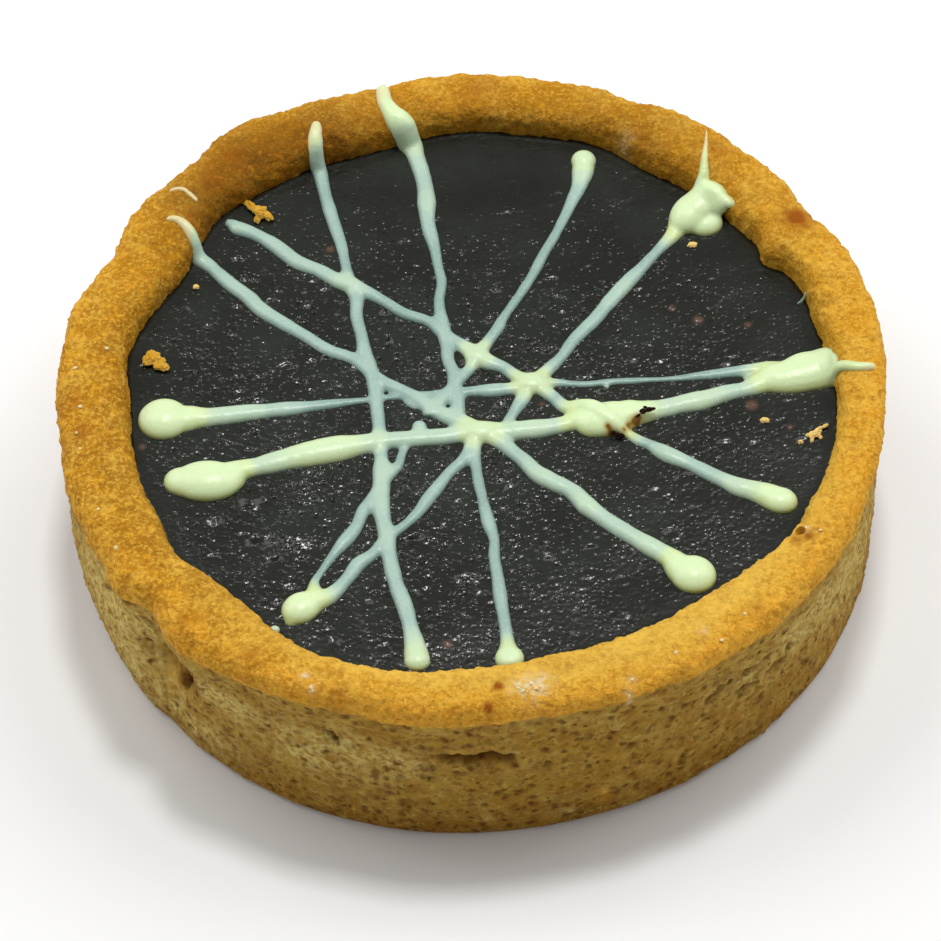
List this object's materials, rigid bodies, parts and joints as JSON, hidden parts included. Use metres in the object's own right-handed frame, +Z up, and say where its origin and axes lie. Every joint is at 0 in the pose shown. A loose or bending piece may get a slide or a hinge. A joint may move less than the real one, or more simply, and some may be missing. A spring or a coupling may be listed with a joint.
{
  "type": "chocolate tart",
  "caption": "Round individual tart: a thick golden shortcrust case filled level with dark chocolate ganache and drizzled with white chocolate.",
  "frame": {"origin": "middle of the flat underside", "axes": "+Z up through the tart, -Y towards the front, +X to the right"},
  "size_m": [0.0797, 0.0798, 0.0222],
  "materials": {
    "shortcrust": "baked sweet pastry, golden brown on the rim and paler on the wall",
    "ganache": "set dark chocolate ganache, satin with small pits",
    "white_chocolate": "white chocolate drizzle, thin strands let the dark filling show through"
  },
  "bodies": {
    "root": {"crust": "shortcrust", "filling": "ganache"}
  },
  "joints": []
}
